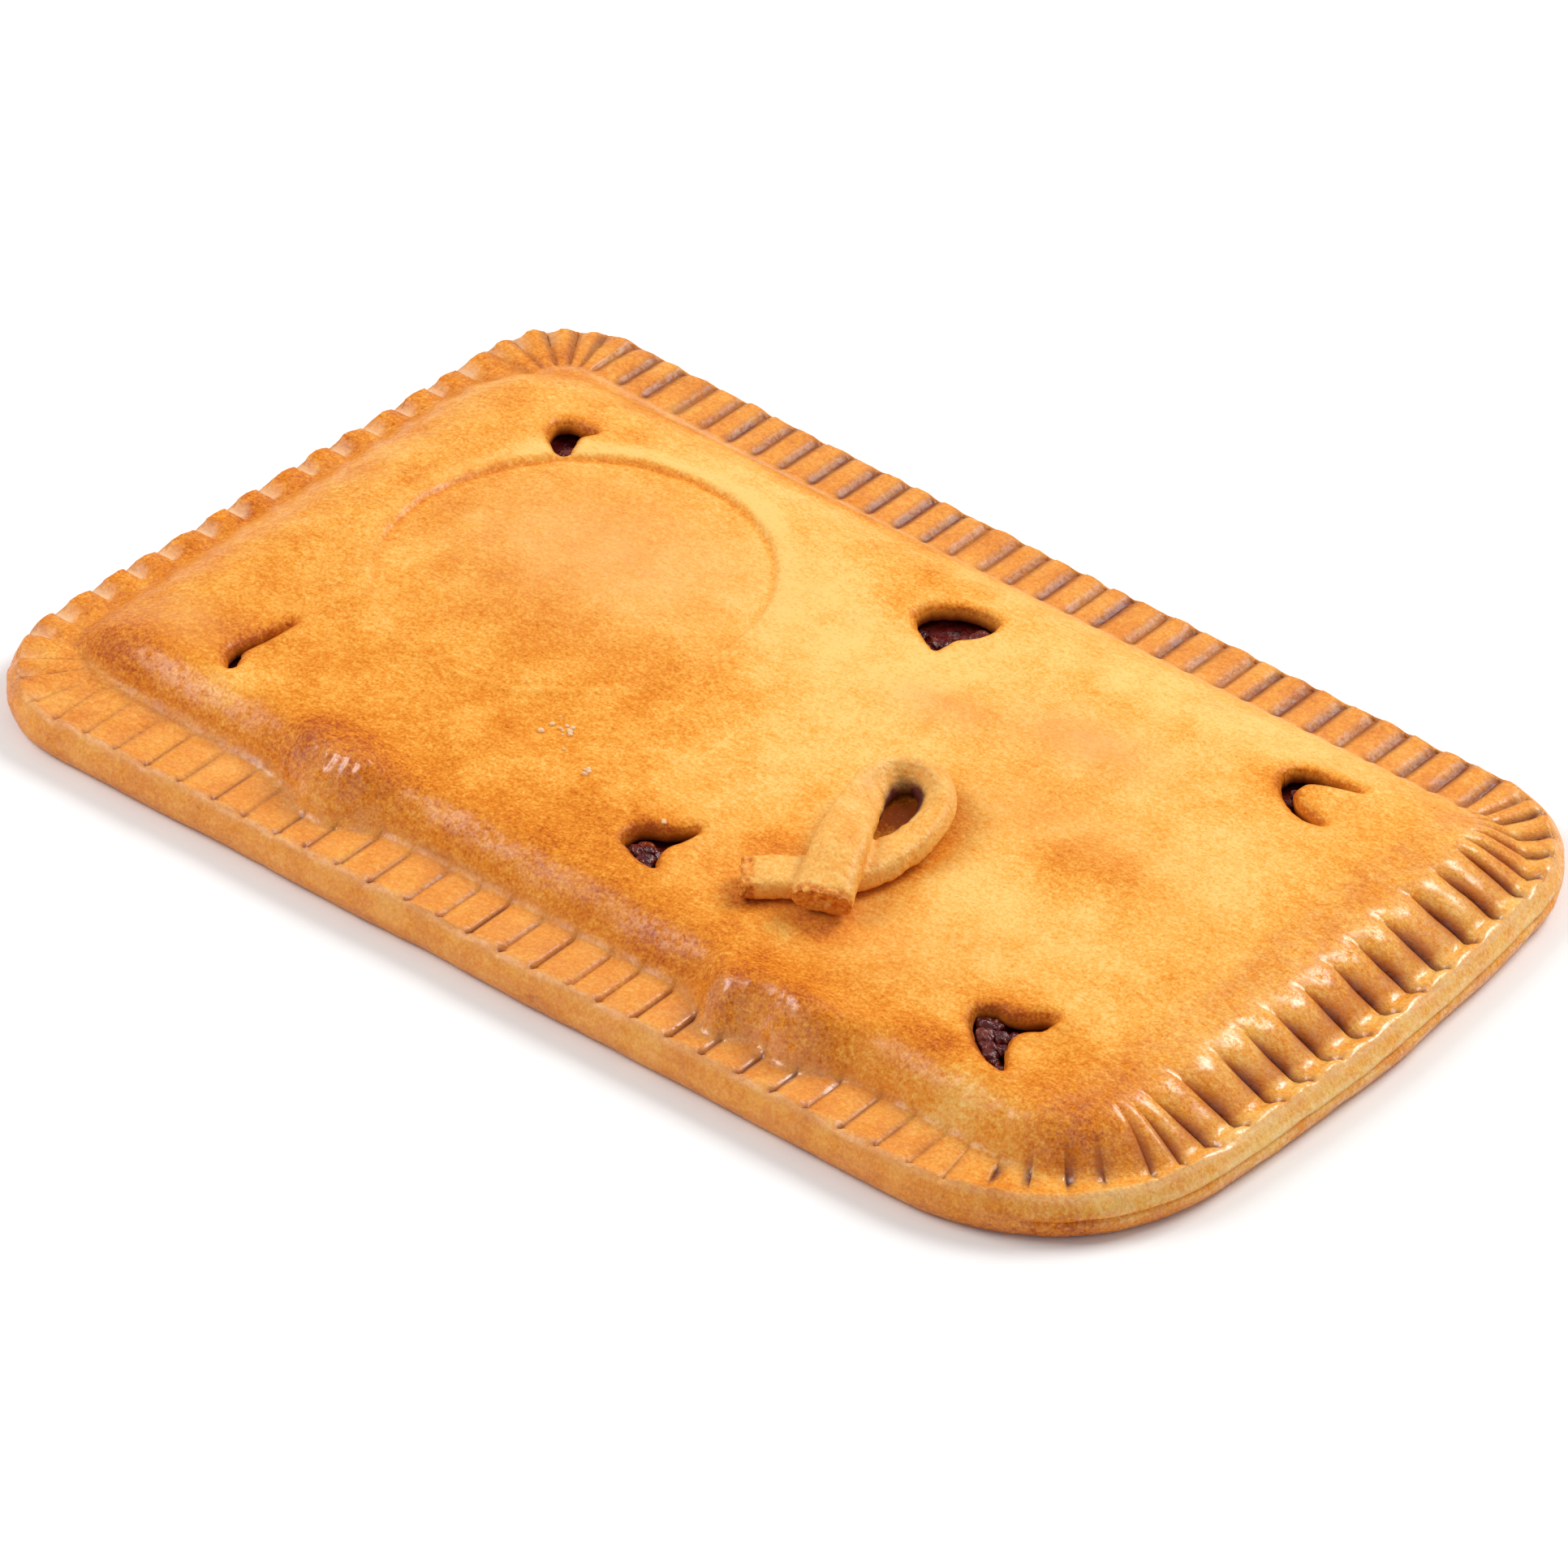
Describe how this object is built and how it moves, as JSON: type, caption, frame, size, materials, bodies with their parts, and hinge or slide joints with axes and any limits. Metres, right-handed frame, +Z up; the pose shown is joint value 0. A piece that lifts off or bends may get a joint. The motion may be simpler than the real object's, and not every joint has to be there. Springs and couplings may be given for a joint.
{
  "type": "tuna empanada",
  "caption": "Flat rectangular baked savoury pie with rounded corners, a crimped rim, arrow-shaped vents that show the filling, a round imprint and a looped dough strip on top.",
  "frame": {"origin": "under the centre of the pie, on the flat base that it rests on", "axes": "+X along the length of the pie, towards the end with the deep crimp grooves and the wider rounded front corner; +Y across it, towards the side with the striped crimps; +Z up"},
  "size_m": [0.2745, 0.1687, 0.0274],
  "materials": {
    "baked_crust": "baked dough, egg-washed, satin with glossy shoulders",
    "tuna_filling": "moist tuna and tomato, dark red, glossy",
    "pale_dough": "baked dough, lightly browned, satin"
  },
  "bodies": {
    "root": {"crust": "baked_crust", "filling": "tuna_filling", "dough_ribbon": "pale_dough"}
  },
  "joints": []
}
